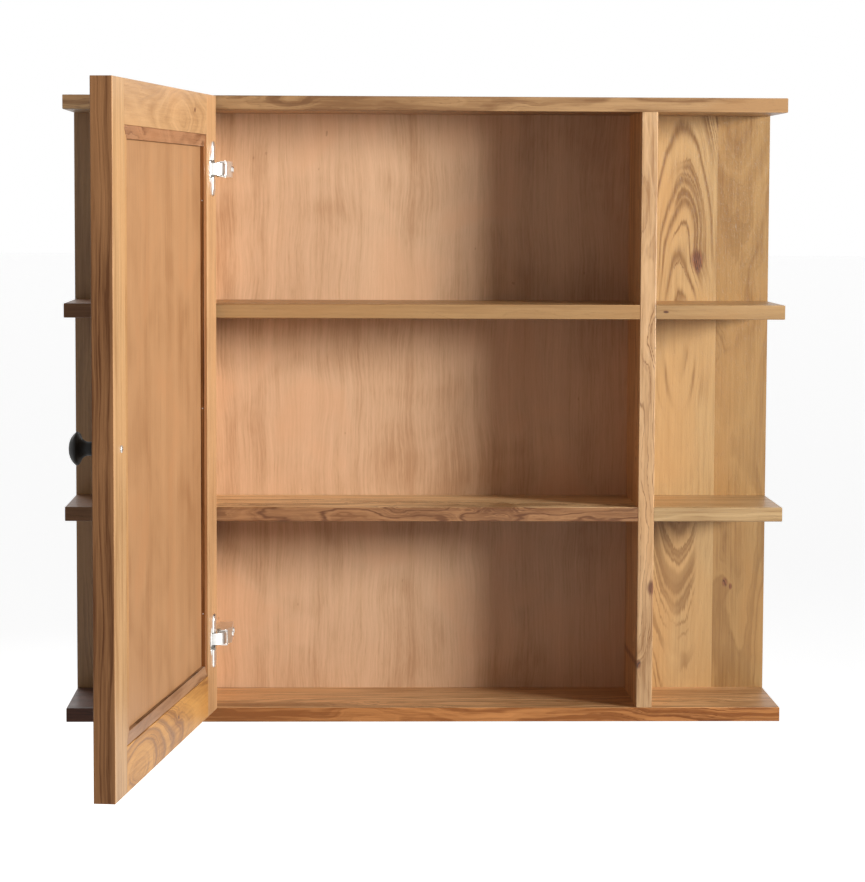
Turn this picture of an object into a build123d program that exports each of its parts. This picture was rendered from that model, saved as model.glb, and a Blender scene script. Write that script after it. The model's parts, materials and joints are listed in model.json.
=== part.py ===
"""Hanging wall cabinet with three centre bays behind one hinged door and open side shelves.

Millimetres, +X right, +Z up, +Y into the wall. The origin is on the wall plane, midway
between the round holes of the two hanger plates. The door is modelled standing open.
"""

import os
from math import atan2, cos, degrees, hypot, radians, sin

from build123d import *

# ---------------------------------------------------------------- driving dimensions
overall_width = 800.0
overall_height = 697.0
board_depth = 134.0
board_thickness = 16.0
plank_thickness = 12.0
upper_shelf_base = 452.0
lower_shelf_base = 226.0
divider_gap = 476.0
divider_thickness = 18.0
outer_plank_width = 60.0
back_panel_thickness = 5.0
edge_round = 1.0
hanger_height = 640.0
hanger_spacing = 586.0

door_height = 679.0
door_base = 17.0
door_thickness = 21.0
door_opening = 98.1
door_closed_gap = 3.5
door_open_corner = (-231.3, -9.8)
stile_width = 52.0
top_rail_width = 43.5
bottom_rail_width = 45.0
frame_lip = 8.0
mirror_thickness = 4.0
door_panel_thickness = 4.0
bead_width = 13.0
bead_thickness = 4.2
bead_set_back = 0.8

hinge_inset = 80.0
cup_edge_distance = 23.0
cup_outer_radius = 17.5
cup_inner_radius = 16.5
cup_depth = 13.0
flange_length = 60.0
flange_width = 15.0
flange_thickness = 2.7
flange_round = 1.9
cup_screw_spacing = 45.0
arm_height = 22.5
arm_half_width = 8.6
arm_sheet = 1.5
link_sheet = 1.6
link_half_width = 6.4
link_bulge = 3.5
link_reach = 10.0
arm_pivot_from_divider = 16.0
arm_pivot_ahead = 8.0
hinge_pin_radius = 1.5
hinge_pin_clearance = 0.06

knob_radius = 16.0
knob_length = 27.6
knob_neck_radius = 6.6
knob_foot_radius = 6.9
knob_neck_length = 10.0
knob_rim_height = 21.0
knob_tip_radius = 1.0
knob_from_free_edge = 30.0
knob_height = 349.0

dowel_radius = 4.0
dowel_length = 48.0
dowel_edge_distance = 32.0

screw_tip_ratio = 3.0
cross_span_ratio = 1.1
cross_width_ratio = 0.25
cross_depth_ratio = 0.8
cross_lift_ratio = 0.1

# ---------------------------------------------------------------- derived planes
front_y = -(board_depth + plank_thickness)
inner_back_y = -plank_thickness
base_z = -hanger_height
top_z = base_z + overall_height
half_width = overall_width / 2
inner_face_x = divider_gap / 2
outer_face_x = inner_face_x + divider_thickness
divider_centre_x = inner_face_x + divider_thickness / 2
seam_x = half_width - outer_plank_width
floor_top_z = base_z + board_thickness
ceiling_z = top_z - board_thickness
shelf_bases = {"upper": base_z + upper_shelf_base, "lower": base_z + lower_shelf_base}
board_centres = [
    base_z + board_thickness / 2,
    shelf_bases["lower"] + board_thickness / 2,
    shelf_bases["upper"] + board_thickness / 2,
    top_z - board_thickness / 2,
]
front_dowel_y = front_y + dowel_edge_distance
rear_dowel_y = inner_back_y - dowel_edge_distance

door_width = 2 * outer_face_x
door_bottom_z = base_z + door_base
door_top_z = door_bottom_z + door_height
opening_left = stile_width
opening_right = door_width - stile_width
opening_bottom = door_bottom_z + bottom_rail_width
opening_top = door_top_z - top_rail_width
panel_back = bead_set_back + bead_thickness
mirror_back = panel_back + door_panel_thickness
lip_back = mirror_back + mirror_thickness
hinge_heights = {"upper": door_top_z - hinge_inset, "lower": door_bottom_z + hinge_inset}


# ---------------------------------------------------------------- door motion
closed_corner = (-outer_face_x, front_y - door_closed_gap)
open_corner = (door_open_corner[0], front_y + door_open_corner[1])


def turning_centre():
    """The one point about which a turn takes the door from closed to open."""
    chord = (open_corner[0] - closed_corner[0], open_corner[1] - closed_corner[1])
    middle = ((open_corner[0] + closed_corner[0]) / 2, (open_corner[1] + closed_corner[1]) / 2)
    half_turn = radians(door_opening / 2)
    length = hypot(*chord)
    rise = length / 2 / (sin(half_turn) / cos(half_turn))
    return (middle[0] + chord[1] / length * rise, middle[1] - chord[0] / length * rise)


door_axis = turning_centre()
arm_pivot = (-inner_face_x + arm_pivot_from_divider, front_y - arm_pivot_ahead)


def link_end(open_pose):
    """Cup end of the link: on the line from the door axis, half a swing either side of the arm pivot."""
    towards_arm = atan2(arm_pivot[1] - door_axis[1], arm_pivot[0] - door_axis[0])
    half_turn = radians(door_opening / 2)
    angle = towards_arm - half_turn if open_pose else towards_arm + half_turn
    return (door_axis[0] + link_reach * cos(angle), door_axis[1] + link_reach * sin(angle))


def direction(start, end):
    """Angle of the line from start to end, in degrees."""
    return degrees(atan2(end[1] - start[1], end[0] - start[0]))


link_open_end = link_end(True)
link_turn = direction(arm_pivot, link_open_end) - direction(arm_pivot, link_end(False))
link_turn = (link_turn + 180) % 360 - 180


# ---------------------------------------------------------------- shape helpers
def block(x0, x1, y0, y1, z0, z1):
    """A box between two corners."""
    centre = Pos((x0 + x1) / 2, (y0 + y1) / 2, (z0 + z1) / 2)
    return centre * Box(x1 - x0, y1 - y0, z1 - z0)


def prism(points, z0, z1):
    """A plan outline carried up from z0 to z1."""
    outline = make_face(Polyline(*points, close=True))
    return Pos(0, 0, z0) * extrude(outline, amount=z1 - z0)


def post(x, y, z0, z1, radius):
    """An upright cylinder."""
    return Pos(x, y, (z0 + z1) / 2) * Cylinder(radius, z1 - z0)


def along_x(x0, x1, y, z, radius):
    """A cylinder along X."""
    return Pos((x0 + x1) / 2, y, z) * Rot(0, 90, 0) * Cylinder(radius, x1 - x0)


def along_y(x, y0, y1, z, radius):
    """A cylinder along Y."""
    return Pos(x, (y0 + y1) / 2, z) * Rot(90, 0, 0) * Cylinder(radius, y1 - y0)


def wood_screw(length, shank_radius, head_radius, head_depth, sink=0.0, cross=True):
    """A countersunk screw pointing down, its head at z = -sink; cross=False gives its hole."""
    profile = Polyline(
        (0, -sink),
        (head_radius, -sink),
        (shank_radius, -sink - head_depth),
        (shank_radius, -length + screw_tip_ratio * shank_radius),
        (0, -length),
        close=True,
    )
    screw = revolve(Plane.XZ * make_face(profile), Axis.Z)
    if not cross:
        if sink:
            screw += post(0, 0, -sink, 0, head_radius)
        return screw
    span = head_radius * cross_span_ratio
    width = head_radius * cross_width_ratio
    depth = head_depth * cross_depth_ratio
    slot = Box(span, width, depth) + Box(width, span, depth)
    return screw - Pos(0, 0, -sink - head_depth * cross_lift_ratio) * slot


def tack(length, shank_radius, head_radius, head_thickness):
    """A flat-headed nail pointing down, the underside of its head at z = 0."""
    return post(0, 0, 0, head_thickness, head_radius) + post(0, 0, -length, 0, shank_radius)


pieces = {}


def cut(names, tools):
    """Cut a list of tools out of the named pieces."""
    for name in names:
        box = pieces[name].bounding_box()
        near = [tool for tool in tools if overlaps(box, tool.bounding_box())]
        if near:
            pieces[name] = pieces[name] - near


def overlaps(first, second):
    """Whether two bounding boxes share space."""
    return (
        first.min.X < second.max.X
        and second.min.X < first.max.X
        and first.min.Y < second.max.Y
        and second.min.Y < first.max.Y
        and first.min.Z < second.max.Z
        and second.min.Z < first.max.Z
    )


# ---------------------------------------------------------------- boards, dividers and shelves
def level_board(x0, x1, z0, open_ends):
    """A board lying level, its long front edges eased, and the upright edges of its open ends."""
    board = block(x0, x1, front_y, inner_back_y, z0, z0 + board_thickness)
    front = board.faces().sort_by(Axis.Y)[0]
    edges = front.edges().filter_by(Axis.X)
    for end in open_ends:
        edges += board.faces().sort_by(Axis.X)[end].edges().filter_by(Axis.Y)
    return fillet(edges, edge_round)


def upright_board(x0, x1):
    """A divider standing between the top and bottom boards, its front edges eased."""
    board = block(x0, x1, front_y, inner_back_y, floor_top_z, ceiling_z)
    front = board.faces().sort_by(Axis.Y)[0]
    return fillet(front.edges().filter_by(Axis.Z), edge_round)


pieces["top_board"] = level_board(-half_width, half_width, ceiling_z, [0, -1])
pieces["bottom_board"] = level_board(-half_width, half_width, base_z, [0, -1])
pieces["left_divider"] = upright_board(-outer_face_x, -inner_face_x)
pieces["right_divider"] = upright_board(inner_face_x, outer_face_x)
for level, shelf_base in shelf_bases.items():
    pieces[f"centre_{level}_shelf"] = level_board(-inner_face_x, inner_face_x, shelf_base, [])
    pieces[f"left_{level}_shelf"] = level_board(-half_width, -outer_face_x, shelf_base, [0])
    pieces[f"right_{level}_shelf"] = level_board(outer_face_x, half_width, shelf_base, [-1])

# ---------------------------------------------------------------- backs
for side, sign in (("left", -1), ("right", 1)):
    for place, near, far in (
        ("outer", seam_x, half_width),
        ("inner", divider_centre_x, seam_x),
    ):
        x0, x1 = sorted((sign * near, sign * far))
        plank = block(x0, x1, inner_back_y, 0, base_z, top_z)
        if place == "outer":
            end_face = plank.faces().sort_by(Axis.X)[0 if sign < 0 else -1]
            plank = fillet(end_face.edges().filter_by(Axis.Z).sort_by(Axis.Y)[-1], edge_round)
        pieces[f"{side}_{place}_back_plank"] = plank
pieces["centre_back_panel"] = block(
    -divider_centre_x,
    divider_centre_x,
    inner_back_y,
    inner_back_y + back_panel_thickness,
    base_z,
    top_z,
)

level_boards = [name for name in pieces if name.endswith(("shelf", "board"))]
dividers = ["left_divider", "right_divider"]
planks = [name for name in pieces if name.endswith("plank")]

# ---------------------------------------------------------------- dowels and screws of the carcass
shelf_dowels = []
for x in (-divider_centre_x, divider_centre_x):
    for y in (front_dowel_y, rear_dowel_y):
        for shelf_base in shelf_bases.values():
            z = shelf_base + board_thickness / 2
            shelf_dowels.append(along_x(x - dowel_length / 2, x + dowel_length / 2, y, z, dowel_radius))
cut(level_boards + dividers, shelf_dowels)
pieces["shelf_dowels"] = Compound(children=shelf_dowels)

divider_screw_size = dict(length=50.0, shank_radius=2.0, head_radius=4.0, head_depth=2.6, sink=0.6)
divider_screws = []
divider_screw_holes = []
for x in (-divider_centre_x, divider_centre_x):
    for y in (front_dowel_y, rear_dowel_y):
        for place in (Pos(x, y, top_z), Pos(x, y, base_z) * Rot(180, 0, 0)):
            divider_screws.append(place * wood_screw(**divider_screw_size))
            divider_screw_holes.append(place * wood_screw(**divider_screw_size, cross=False))
cut(["top_board", "bottom_board"] + dividers, divider_screw_holes)
pieces["divider_screws"] = Compound(children=divider_screws)

plank_screw_size = dict(length=32.0, shank_radius=1.9, head_radius=3.8, head_depth=2.4, sink=0.5)
plank_screws = []
plank_screw_holes = []
outer_screw_x = half_width - outer_plank_width / 2
inner_screw_x = (divider_centre_x + seam_x) / 2
for x in (-outer_screw_x, -inner_screw_x, inner_screw_x, outer_screw_x):
    for z in board_centres:
        place = Pos(x, 0, z) * Rot(-90, 0, 0)
        plank_screws.append(place * wood_screw(**plank_screw_size))
        plank_screw_holes.append(place * wood_screw(**plank_screw_size, cross=False))
cut(level_boards + planks, plank_screw_holes)
pieces["back_plank_screws"] = Compound(children=plank_screws)

tack_size = dict(length=18.0, shank_radius=0.8, head_radius=2.2, head_thickness=0.8)
tack_edge_distance = 4.5
tack_end_distance = 60.0
tack_count_up = 7
tack_spacing = 120.0
tack_pitch_up = (overall_height - 2 * tack_end_distance) / (tack_count_up - 1)
tack_points = []
for x in (-divider_centre_x + tack_edge_distance, divider_centre_x - tack_edge_distance):
    for step in range(tack_count_up):
        tack_points.append((x, base_z + tack_end_distance + step * tack_pitch_up))
for steps in (-1.5, -0.5, 0.5, 1.5):
    x = steps * tack_spacing
    for z in board_centres:
        tack_points.append((x, z))
tacks = []
for x, z in tack_points:
    place = Pos(x, inner_back_y + back_panel_thickness, z) * Rot(-90, 0, 0)
    tacks.append(place * tack(**tack_size))
cut(level_boards + dividers + ["centre_back_panel"], tacks)
pieces["back_panel_tacks"] = Compound(children=tacks)

# ---------------------------------------------------------------- hanger plates
hanger_width = 20.0
hanger_sheet = 2.0
hanger_base = -18.0
hanger_top = 26.0
keyhole_radius = 4.5
keyhole_slot_radius = 2.3
keyhole_rise = 11.0
hanger_screw_heights = (-12.0, 20.0)
hanger_round = 5.0
hanger_pocket_depth = 9.0
hanger_pocket_half_width = 6.5
hanger_pocket_rise = 16.0
hanger_screw_size = dict(length=10.0, shank_radius=1.4, head_radius=2.9, head_depth=1.6)
hanger_screws = []
for side, sign in (("left", -1), ("right", 1)):
    x = sign * hanger_spacing / 2
    plate = block(x - hanger_width / 2, x + hanger_width / 2, -hanger_sheet, 0, hanger_base, hanger_top)
    plate = fillet(plate.edges().filter_by(Axis.Y), hanger_round)
    cut([f"{side}_inner_back_plank"], [plate])
    keyhole = along_y(x, -hanger_sheet, 0, 0, keyhole_radius)
    keyhole += along_y(x, -hanger_sheet, 0, keyhole_rise, keyhole_slot_radius)
    keyhole += block(x - keyhole_slot_radius, x + keyhole_slot_radius, -hanger_sheet, 0, 0, keyhole_rise)
    pocket = block(
        x - hanger_pocket_half_width,
        x + hanger_pocket_half_width,
        -hanger_pocket_depth,
        -hanger_sheet,
        -hanger_pocket_half_width,
        hanger_pocket_rise,
    )
    cut([f"{side}_inner_back_plank"], [fillet(pocket.edges().filter_by(Axis.Y), hanger_round)])
    plate = plate - keyhole
    for z in hanger_screw_heights:
        place = Pos(x, 0, z) * Rot(-90, 0, 0)
        hole = place * wood_screw(**hanger_screw_size, cross=False)
        plate = plate - hole
        cut([f"{side}_inner_back_plank"], [hole])
        hanger_screws.append(place * wood_screw(**hanger_screw_size))
    pieces[f"{side}_hanger_plate"] = plate
pieces["hanger_screws"] = Compound(children=hanger_screws)

# ---------------------------------------------------------------- hinge: fixed side
face_x = -inner_face_x
arm_top_x = face_x + arm_height
saddle_half_width = arm_half_width - arm_sheet - 0.1
saddle_top_x = arm_top_x - arm_sheet
arm_rear_y = front_y + 52.0
saddle_front_y = front_y + 14.0
wing_y = (front_y + 24.0, front_y + 38.0)
wing_half_length = 26.0
wing_sheet = 1.8
wing_round = 5.0
wing_screw_offset = 18.0
arm_screw_ys = (front_y + 20.0, front_y + 43.0)
nose_left_x = face_x + 10.5
nose_right_x = face_x + 18.5
nose_y = front_y - 11.0
arm_brow_y = front_y + 10.0
arm_root_y = front_y + 1.0
cheek_foot_x = face_x + wing_sheet + 4.0
cheek_foot_y = front_y + 8.0
cheek_toe_y = front_y + 3.0
brow_outline = [
    (arm_top_x, arm_brow_y),
    (nose_right_x, arm_root_y),
    (nose_right_x - arm_sheet, arm_root_y),
    (arm_top_x - arm_sheet, arm_brow_y),
]

plate_screw_size = dict(length=16.0, shank_radius=1.8, head_radius=3.4, head_depth=1.7)
arm_screw_head_radius = 3.3
arm_screw_head_height = 1.6
arm_screw_shank_radius = 2.0
arm_screw_tip_x = face_x + 8.0
arm_screw_cross = Box(1.2, 4.2, 0.9) + Box(1.2, 0.9, 4.2)
arm_screw_cross_x = arm_top_x + arm_screw_head_height - 0.4
pin_overhang = 0.4
plate_screws = []
arm_screws = []
arm_pins = []
for level, z in hinge_heights.items():
    saddle = block(
        face_x, saddle_top_x, saddle_front_y, arm_rear_y, z - saddle_half_width, z + saddle_half_width
    )
    wings = block(
        face_x, face_x + wing_sheet, wing_y[0], wing_y[1], z - wing_half_length, z + wing_half_length
    )
    wings = fillet(wings.edges().filter_by(Axis.X), wing_round)
    plate = saddle + wings
    plate_y = sum(wing_y) / 2
    for offset in (-wing_screw_offset, wing_screw_offset):
        place = Pos(face_x + wing_sheet, plate_y, z + offset) * Rot(0, 90, 0)
        hole = place * wood_screw(**plate_screw_size, cross=False)
        plate = plate - hole
        cut(["left_divider"], [hole])
        plate_screws.append(place * wood_screw(**plate_screw_size))

    cheek_outline = [
        (cheek_foot_x, arm_rear_y),
        (arm_top_x, arm_rear_y),
        (arm_top_x, arm_brow_y),
        (nose_right_x, arm_root_y),
        (nose_right_x, nose_y),
        (nose_left_x, nose_y),
        (nose_left_x, cheek_toe_y),
        (cheek_foot_x, cheek_foot_y),
    ]
    arm = prism(cheek_outline, z - arm_half_width, z - arm_half_width + arm_sheet)
    arm += prism(cheek_outline, z + arm_half_width - arm_sheet, z + arm_half_width)
    arm += block(
        arm_top_x - arm_sheet, arm_top_x, arm_brow_y, arm_rear_y, z - arm_half_width, z + arm_half_width
    )
    arm += prism(brow_outline, z - arm_half_width, z + arm_half_width)
    for y in arm_screw_ys:
        shank = along_x(arm_screw_tip_x, arm_top_x, y, z, arm_screw_shank_radius)
        head = along_x(arm_top_x, arm_top_x + arm_screw_head_height, y, z, arm_screw_head_radius)
        plate = plate - shank
        arm = arm - shank
        arm_screws.append(shank + head - Pos(arm_screw_cross_x, y, z) * arm_screw_cross)
    pin_half_length = arm_half_width + pin_overhang
    pin = post(*arm_pivot, z - pin_half_length, z + pin_half_length, hinge_pin_radius)
    arm = arm - pin
    arm_pins.append(pin)
    pieces[f"{level}_hinge_plate"] = plate
    pieces[f"{level}_hinge_arm"] = arm
pieces["hinge_plate_screws"] = Compound(children=plate_screws)
pieces["hinge_arm_screws"] = Compound(children=arm_screws)
pieces["hinge_arm_pins"] = Compound(children=arm_pins)

# ---------------------------------------------------------------- hinge: links
eye_radius = 3.0
cup_eye_radius = 2.1
cup_pin_radius = 1.1
cup_pin_half_length = 8.0
strip_inset = 0.4
bore_margin = 1.0


def link_strip():
    """Plan outline of the bowed link between its two eyes, as a strip of even thickness."""
    length = hypot(link_open_end[0] - arm_pivot[0], link_open_end[1] - arm_pivot[1])
    run = ((link_open_end[0] - arm_pivot[0]) / length, (link_open_end[1] - arm_pivot[1]) / length)
    bow = (-run[1], run[0])
    middle = ((arm_pivot[0] + link_open_end[0]) / 2, (arm_pivot[1] + link_open_end[1]) / 2)

    def bowed(offset):
        start = (arm_pivot[0] + bow[0] * offset, arm_pivot[1] + bow[1] * offset)
        end = (link_open_end[0] + bow[0] * offset, link_open_end[1] + bow[1] * offset)
        crown = (
            middle[0] + bow[0] * (offset + link_bulge),
            middle[1] + bow[1] * (offset + link_bulge),
        )
        return start, crown, end

    near = bowed(eye_radius - link_sheet - strip_inset)
    far = bowed(eye_radius - strip_inset)
    inner_edge = ThreePointArc(*near)
    outer_edge = ThreePointArc(far[2], far[1], far[0])
    return make_face([inner_edge, Line(near[2], far[2]), outer_edge, Line(far[0], near[0])])


cup_pins = []
for level, z in hinge_heights.items():
    low = z - link_half_width
    high = z + link_half_width
    strip = Pos(0, 0, low) * extrude(link_strip(), amount=2 * link_half_width)
    link = strip + post(*arm_pivot, low, high, eye_radius) + post(*link_open_end, low, high, cup_eye_radius)
    bore_radius = hinge_pin_radius + hinge_pin_clearance
    link = link - post(*arm_pivot, low - bore_margin, high + bore_margin, bore_radius)
    cup_pin = post(*link_open_end, z - cup_pin_half_length, z + cup_pin_half_length, cup_pin_radius)
    pieces[f"{level}_hinge_link"] = link - cup_pin
    cup_pins.append(cup_pin)
pieces["hinge_link_pins"] = Compound(children=cup_pins)

# ---------------------------------------------------------------- door, drawn closed from its own corner
# Door drawing: x from the hinge edge, y = 0 on the inner face and negative towards the front.
door = {}
frame_round = 0.6
bead_round = 0.7


def across_door(x0, x1, z0, z1, back, front):
    """A box of the door, back and front being depths below its inner face."""
    return block(x0, x1, -front, -back, z0, z1)


def door_member(body, lip):
    """A frame member with its long and end edges eased on both faces."""
    edges = body.faces().sort_by(Axis.Y)[0].edges() + body.faces().sort_by(Axis.Y)[-1].edges()
    return fillet(edges, frame_round) + lip


lip_bottom = opening_bottom + frame_lip
lip_top = opening_top - frame_lip
door["door_hinge_stile"] = door_member(
    across_door(0, opening_left, door_bottom_z, door_top_z, 0, door_thickness),
    across_door(opening_left, opening_left + frame_lip, lip_bottom, lip_top, lip_back, door_thickness),
)
door["door_free_stile"] = door_member(
    across_door(opening_right, door_width, door_bottom_z, door_top_z, 0, door_thickness),
    across_door(opening_right - frame_lip, opening_right, lip_bottom, lip_top, lip_back, door_thickness),
)
door["door_top_rail"] = door_member(
    across_door(opening_left, opening_right, opening_top, door_top_z, 0, door_thickness),
    across_door(opening_left, opening_right, lip_top, opening_top, lip_back, door_thickness),
)
door["door_bottom_rail"] = door_member(
    across_door(opening_left, opening_right, door_bottom_z, opening_bottom, 0, door_thickness),
    across_door(opening_left, opening_right, opening_bottom, lip_bottom, lip_back, door_thickness),
)

frame_dowel_radius = 4.0
frame_dowel_length = 50.0
frame_dowel_offset = 11.0
rail_centres = (opening_top + top_rail_width / 2, door_bottom_z + bottom_rail_width / 2)
frame_dowels = []
for x in (opening_left, opening_right):
    for z in rail_centres:
        for offset in (-frame_dowel_offset, frame_dowel_offset):
            start = x - frame_dowel_length / 2
            end = x + frame_dowel_length / 2
            dowel = along_x(start, end, -door_thickness / 2, z + offset, frame_dowel_radius)
            frame_dowels.append(dowel)

door_back_panel = across_door(
    opening_left, opening_right, opening_bottom, opening_top, panel_back, mirror_back
)
door["door_back_panel"] = door_back_panel
door["door_mirror"] = across_door(
    opening_left, opening_right, opening_bottom, opening_top, mirror_back, lip_back
)


def bead(points):
    """A mitred bead from its outline on the door's face, its showing edges eased."""
    outline = make_face(Plane.XZ * Polyline(*points, close=True))
    strip = extrude(outline, amount=bead_thickness, dir=(0, -1, 0))
    strip = Pos(0, -bead_set_back, 0) * strip
    return fillet(strip.faces().sort_by(Axis.Y)[-1].edges(), bead_round)


corners = {
    "outer": (opening_left, opening_right, opening_bottom, opening_top),
    "inner": (
        opening_left + bead_width,
        opening_right - bead_width,
        opening_bottom + bead_width,
        opening_top - bead_width,
    ),
}
left, right, bottom, top = corners["outer"]
near_left, near_right, near_bottom, near_top = corners["inner"]
door["door_top_bead"] = bead([(left, top), (right, top), (near_right, near_top), (near_left, near_top)])
door["door_bottom_bead"] = bead(
    [(left, bottom), (right, bottom), (near_right, near_bottom), (near_left, near_bottom)]
)
door["door_hinge_side_bead"] = bead(
    [(left, bottom), (left, top), (near_left, near_top), (near_left, near_bottom)]
)
door["door_free_side_bead"] = bead(
    [(right, bottom), (right, top), (near_right, near_top), (near_right, near_bottom)]
)

bead_pin_radius = 0.7
bead_pin_length = 24.0
bead_pin_depth = bead_set_back + 2.3
bead_pin_fractions = (0.12, 0.5, 0.88)
bead_pins = []
for fraction in bead_pin_fractions:
    x = left + (right - left) * fraction
    z = bottom + (top - bottom) * fraction
    bead_pins.append(post(x, -bead_pin_depth, near_top, near_top + bead_pin_length, bead_pin_radius))
    bead_pins.append(post(x, -bead_pin_depth, near_bottom - bead_pin_length, near_bottom, bead_pin_radius))
    bead_pins.append(along_x(near_left - bead_pin_length, near_left, -bead_pin_depth, z, bead_pin_radius))
    bead_pins.append(along_x(near_right, near_right + bead_pin_length, -bead_pin_depth, z, bead_pin_radius))

# hinge cups
cup_screw_size = dict(length=14.0, shank_radius=1.7, head_radius=3.4, head_depth=1.7)
cup_floor = 1.0
cup_mouth_half_width = arm_half_width + 1.0
cup_screws = []
for level, z in hinge_heights.items():
    centre = Pos(cup_edge_distance, 0, z)
    flange_plan = SlotOverall(flange_length, flange_width, rotation=90)
    flange = centre * Rot(90, 0, 0) * extrude(flange_plan, amount=-flange_thickness)
    flange = fillet(flange.faces().sort_by(Axis.Y)[-1].edges(), flange_round)
    dish = along_y(cup_edge_distance, -cup_depth, 0, z, cup_outer_radius)
    hollow = along_y(cup_edge_distance, -cup_depth + cup_floor, flange_thickness, z, cup_inner_radius)
    hollow = hollow & block(
        0,
        2 * cup_edge_distance,
        -cup_depth,
        flange_thickness,
        z - cup_mouth_half_width,
        z + cup_mouth_half_width,
    )
    cup = flange + dish - hollow
    door["door_hinge_stile"] = door["door_hinge_stile"] - dish
    for offset in (-cup_screw_spacing / 2, cup_screw_spacing / 2):
        place = Pos(cup_edge_distance, flange_thickness, z + offset) * Rot(-90, 0, 0)
        hole = place * wood_screw(**cup_screw_size, cross=False)
        cup = cup - hole
        door["door_hinge_stile"] = door["door_hinge_stile"] - hole
        cup_screws.append(place * wood_screw(**cup_screw_size))
    door[f"{level}_hinge_cup"] = cup

# knob
knob_x = door_width - knob_from_free_edge
knob_z = base_z + knob_height
knob_screw_radius = 2.0
knob_screw_bite = 9.0
knob_screw_head_height = 1.6
knob_screw_head_radius = 3.6
knob_screw_head_round = 1.0
knob_screw_cross = Box(4.4, 0.8, 0.9) + Box(0.9, 0.8, 4.4)
knob_screw_cross_y = knob_screw_head_height - 0.3
knob_flare = ((8.7, knob_neck_length + 5.0), (13.4, knob_neck_length + 8.2))
knob_shoulder = (15.3, knob_rim_height - 1.7)
knob_crown = (10.6, knob_length - 1.8)
knob_section = make_face(
    [
        Line((knob_screw_radius, 0), (knob_foot_radius, 0)),
        Line((knob_foot_radius, 0), (knob_neck_radius, knob_neck_length)),
        ThreePointArc((knob_neck_radius, knob_neck_length), *knob_flare),
        ThreePointArc(knob_flare[1], knob_shoulder, (knob_radius, knob_rim_height)),
        ThreePointArc((knob_radius, knob_rim_height), knob_crown, (knob_tip_radius, knob_length)),
        Line((knob_tip_radius, knob_length), (0, knob_length)),
        Line((0, knob_length), (0, knob_screw_bite)),
        Line((0, knob_screw_bite), (knob_screw_radius, knob_screw_bite)),
        Line((knob_screw_radius, knob_screw_bite), (knob_screw_radius, 0)),
    ]
)
knob = revolve(Plane.XZ * knob_section, Axis.Z)
knob = Pos(knob_x, -door_thickness, knob_z) * Rot(90, 0, 0) * knob
knob_screw = along_y(knob_x, -door_thickness - knob_screw_bite, 0, knob_z, knob_screw_radius)
knob_screw_hole = along_y(knob_x, -door_thickness, 0, knob_z, knob_screw_radius)
knob_head = along_y(knob_x, 0, knob_screw_head_height, knob_z, knob_screw_head_radius)
knob_head = fillet(knob_head.edges().sort_by(Axis.Y)[-1], knob_screw_head_round)
door["knob"] = knob
door["knob_screw"] = knob_screw + knob_head - Pos(knob_x, knob_screw_cross_y, knob_z) * knob_screw_cross

frame_members = ["door_hinge_stile", "door_free_stile", "door_top_rail", "door_bottom_rail"]
for name in frame_members:
    door[name] = door[name] - frame_dowels - bead_pins - [knob_screw_hole]
for name in ("door_top_bead", "door_bottom_bead", "door_hinge_side_bead", "door_free_side_bead"):
    door[name] = door[name] - bead_pins
door["door_frame_dowels"] = Compound(children=frame_dowels)
door["door_bead_pins"] = Compound(children=bead_pins)
door["hinge_cup_screws"] = Compound(children=cup_screws)

open_place = Pos(open_corner[0], open_corner[1], 0) * Rot(0, 0, -door_opening)
for name, piece in door.items():
    pieces[name] = open_place * piece

# ---------------------------------------------------------------- files
if __name__ == "__main__":
    os.makedirs("parts", exist_ok=True)
    for name, piece in pieces.items():
        export_step(piece, f"parts/{name}.step")
    print("door axis", door_axis, "arm pivot", arm_pivot, "link ratio", link_turn / -door_opening)
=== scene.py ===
"""Acacia wall cabinet with one open door: studio, finishes and the turned and pressed pieces."""

import json
import logging
import math
from collections.abc import Iterable, Mapping
from dataclasses import dataclass
from enum import Enum
from typing import ClassVar

import bmesh
import bpy
from mathutils import Matrix, Vector


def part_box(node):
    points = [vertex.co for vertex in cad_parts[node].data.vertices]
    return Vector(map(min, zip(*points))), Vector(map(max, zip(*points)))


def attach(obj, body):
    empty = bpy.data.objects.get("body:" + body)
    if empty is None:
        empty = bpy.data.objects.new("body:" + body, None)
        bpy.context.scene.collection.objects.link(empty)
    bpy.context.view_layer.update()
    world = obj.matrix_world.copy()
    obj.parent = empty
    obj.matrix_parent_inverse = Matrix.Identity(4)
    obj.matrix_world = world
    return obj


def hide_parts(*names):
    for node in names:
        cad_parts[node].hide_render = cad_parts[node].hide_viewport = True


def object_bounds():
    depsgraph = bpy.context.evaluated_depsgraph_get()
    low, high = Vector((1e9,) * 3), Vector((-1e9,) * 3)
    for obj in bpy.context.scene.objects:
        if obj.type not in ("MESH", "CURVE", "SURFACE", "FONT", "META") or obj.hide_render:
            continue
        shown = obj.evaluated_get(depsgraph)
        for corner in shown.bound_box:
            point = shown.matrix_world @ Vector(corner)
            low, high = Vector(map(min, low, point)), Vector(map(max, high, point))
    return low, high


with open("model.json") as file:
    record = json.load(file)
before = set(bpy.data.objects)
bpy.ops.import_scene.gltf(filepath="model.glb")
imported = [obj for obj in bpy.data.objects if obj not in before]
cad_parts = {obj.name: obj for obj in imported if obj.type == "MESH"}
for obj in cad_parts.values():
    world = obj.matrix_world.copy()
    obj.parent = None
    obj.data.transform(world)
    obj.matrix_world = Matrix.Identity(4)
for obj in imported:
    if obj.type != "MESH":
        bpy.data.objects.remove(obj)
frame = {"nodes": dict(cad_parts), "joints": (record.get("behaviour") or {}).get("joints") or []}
CAD_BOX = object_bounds()

LOG = logging.getLogger("cabinet")
Colour = tuple[float, float, float]
Point = tuple[float, float, float]
Flat = tuple[float, float]

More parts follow.
